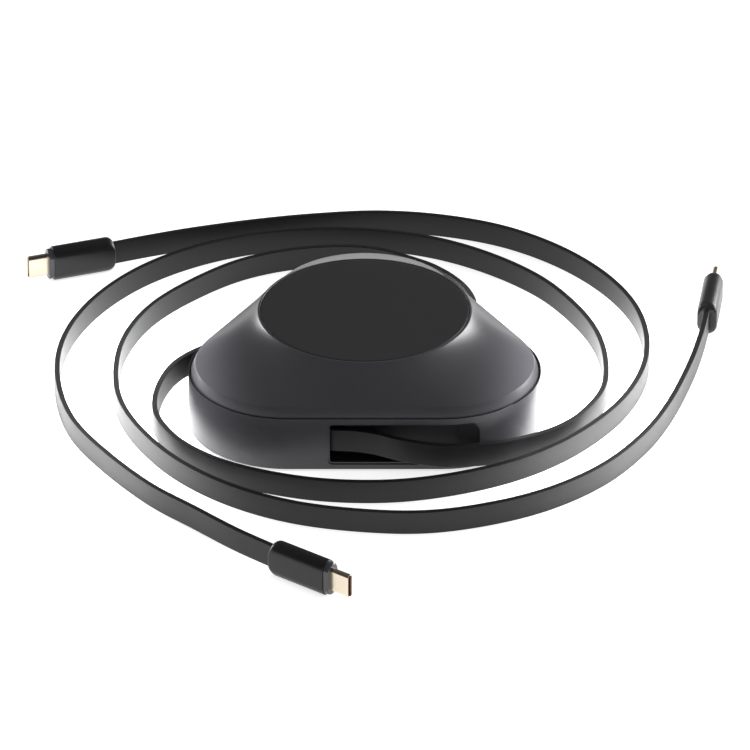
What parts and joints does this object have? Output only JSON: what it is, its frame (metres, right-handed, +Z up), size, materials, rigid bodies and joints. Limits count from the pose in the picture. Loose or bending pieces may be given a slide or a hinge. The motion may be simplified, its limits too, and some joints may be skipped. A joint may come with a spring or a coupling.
{
  "type": "retractable charging station",
  "caption": "Rounded triangular charging station with a round wireless pad on top and flat charging cords on spring reels that come out through side slots.",
  "frame": {"origin": "middle of the underside of the rubber base pad, on the axis of the round charging pad", "axes": "+Z up through the charging pad, -Y towards the front slot, +X along the front wall to the right"},
  "size_m": [0.2377, 0.2483, 0.034],
  "materials": {
    "graphite_abs": "fine moulded texture",
    "pad_black": "satin, soft to the touch",
    "rubber_base": "matt",
    "screw_steel": "zinc plated",
    "copper_litz": "enamelled copper strands",
    "ferrite": "sintered, matt",
    "white_plastic": "moulded, satin",
    "green_board": "glass laminate under lacquer",
    "chip_black": "moulded epoxy",
    "can_aluminium": "drawn can",
    "spring_steel": "blue-grey hardened strip",
    "copper_tracks": "gold-flashed copper tracks",
    "cord_black": "smooth satin jacket",
    "grip_black": "satin moulding",
    "collar_grey": "glossy",
    "champagne_metal": "pale gold plating",
    "insert_brown": "moulded insulator"
  },
  "bodies": {
    "housing": {"lower_housing": "graphite_abs", "upper_housing": "graphite_abs", "charging_pad": "pad_black", "base_pad": "rubber_base", "case_screws": "screw_steel", "charging_coil": "copper_litz", "ferrite_disc": "ferrite", "coil_carrier": "white_plastic", "carrier_screws": "screw_steel", "main_board": "green_board", "board_screws": "screw_steel", "controller_chips": "chip_black", "power_inductors": "ferrite", "capacitors": "can_aluminium", "spool_screws": "screw_steel", "brush_block_front": "chip_black", "brush_block_right": "chip_black", "brush_block_left": "chip_black", "pawl_spring_front": "spring_steel", "pawl_spring_right": "spring_steel", "pawl_spring_left": "spring_steel", "cord_front": "cord_black", "cord_right": "cord_black", "cord_left": "cord_black", "plug_grip_front": "grip_black", "plug_grip_right": "grip_black", "plug_grip_left": "grip_black", "plug_collar_front": "collar_grey", "plug_collar_right": "collar_grey", "plug_collar_left": "collar_grey", "plug_shell_front": "champagne_metal", "plug_shell_right": "champagne_metal", "plug_shell_left": "champagne_metal", "plug_insert_front": "insert_brown", "plug_insert_right": "insert_brown", "plug_insert_left": "insert_brown"},
    "reel_front": {"spool_front": "white_plastic", "spring_cover_front": "white_plastic", "mainspring_front": "spring_steel", "slip_ring_front": "copper_tracks", "cord_turns_front": "cord_black"},
    "catch_front": {"pawl_front": "spring_steel"},
    "reel_right": {"spool_right": "white_plastic", "spring_cover_right": "white_plastic", "mainspring_right": "spring_steel", "slip_ring_right": "copper_tracks", "cord_turns_right": "cord_black"},
    "catch_right": {"pawl_right": "spring_steel"},
    "reel_left": {"spool_left": "white_plastic", "spring_cover_left": "white_plastic", "mainspring_left": "spring_steel", "slip_ring_left": "copper_tracks", "cord_turns_left": "cord_black"},
    "catch_left": {"pawl_left": "spring_steel"}
  },
  "joints": [
    {"name": "reel_front_turn", "type": "hinge", "parent": "housing", "child": "reel_front", "pos_m": [-0.0245, -0.019, 0.01], "axis": [0, 0, 1], "range_deg": [-1560, 0]},
    {"name": "pawl_front_swing", "type": "hinge", "parent": "housing", "child": "catch_front", "pos_m": [-0.014, -0.00081, 0.004], "axis": [0, 0, 1], "range_deg": [0, 16]},
    {"name": "reel_right_turn", "type": "hinge", "parent": "housing", "child": "reel_right", "pos_m": [0.0287, -0.01172, 0.01], "axis": [0, 0, 1], "range_deg": [-1560, 0]},
    {"name": "pawl_right_swing", "type": "hinge", "parent": "housing", "child": "catch_right", "pos_m": [0.0077, -0.01172, 0.004], "axis": [0, 0, 1], "range_deg": [0, 16]},
    {"name": "reel_left_turn", "type": "hinge", "parent": "housing", "child": "reel_left", "pos_m": [-0.0042, 0.03072, 0.01], "axis": [0, 0, 1], "range_deg": [-1560, 0]},
    {"name": "pawl_left_swing", "type": "hinge", "parent": "housing", "child": "catch_left", "pos_m": [0.0063, 0.01253, 0.004], "axis": [0, 0, 1], "range_deg": [0, 16]}
  ]
}
